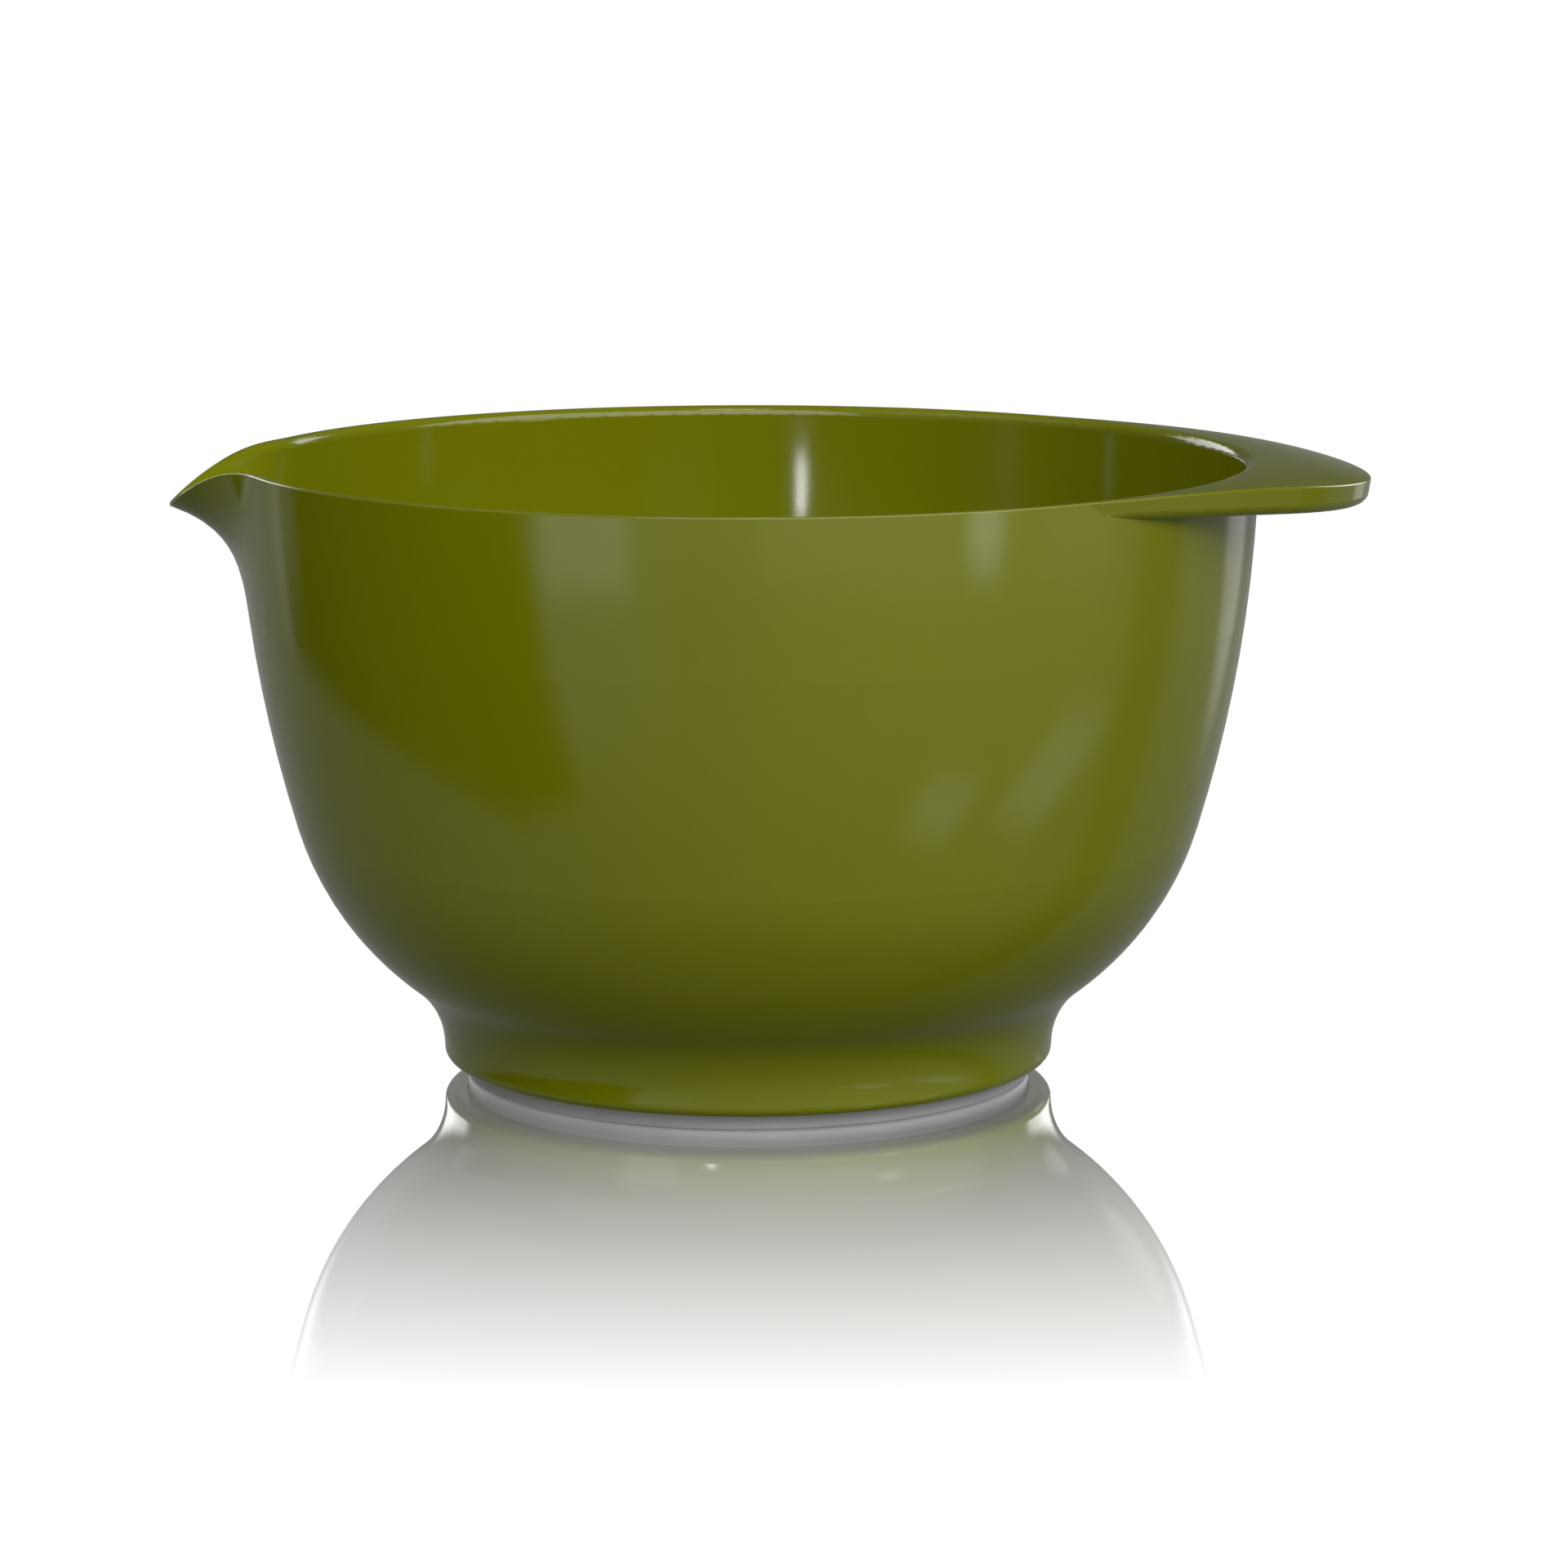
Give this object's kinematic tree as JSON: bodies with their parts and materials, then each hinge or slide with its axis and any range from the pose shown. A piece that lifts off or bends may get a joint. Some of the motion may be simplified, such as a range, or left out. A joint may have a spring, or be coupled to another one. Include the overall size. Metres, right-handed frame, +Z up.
{
  "type": "mixing bowl",
  "caption": "Round melamine mixing bowl with a drooping pouring spout, an ear handle opposite it and a removable rubber ring under the foot.",
  "frame": {"origin": "on the bowl's axis at table level, which is the centre of the rubber ring's underside", "axes": "+Z up along the bowl's axis, +X from the axis towards the handle, -X towards the spout"},
  "size_m": [0.2869, 0.2436, 0.1493],
  "materials": {
    "melamine": "glossy moulded melamine, olive green through and through",
    "ring_rubber": "soft matt grey rubber"
  },
  "bodies": {
    "ring": {"nonslip_ring": "ring_rubber"},
    "bowl": {"bowl_body": "melamine"}
  },
  "joints": [
    {"name": "bowl_lift", "type": "slide", "parent": "ring", "child": "bowl", "axis": [0, 0, 1], "range_m": [0, 0.03]}
  ]
}
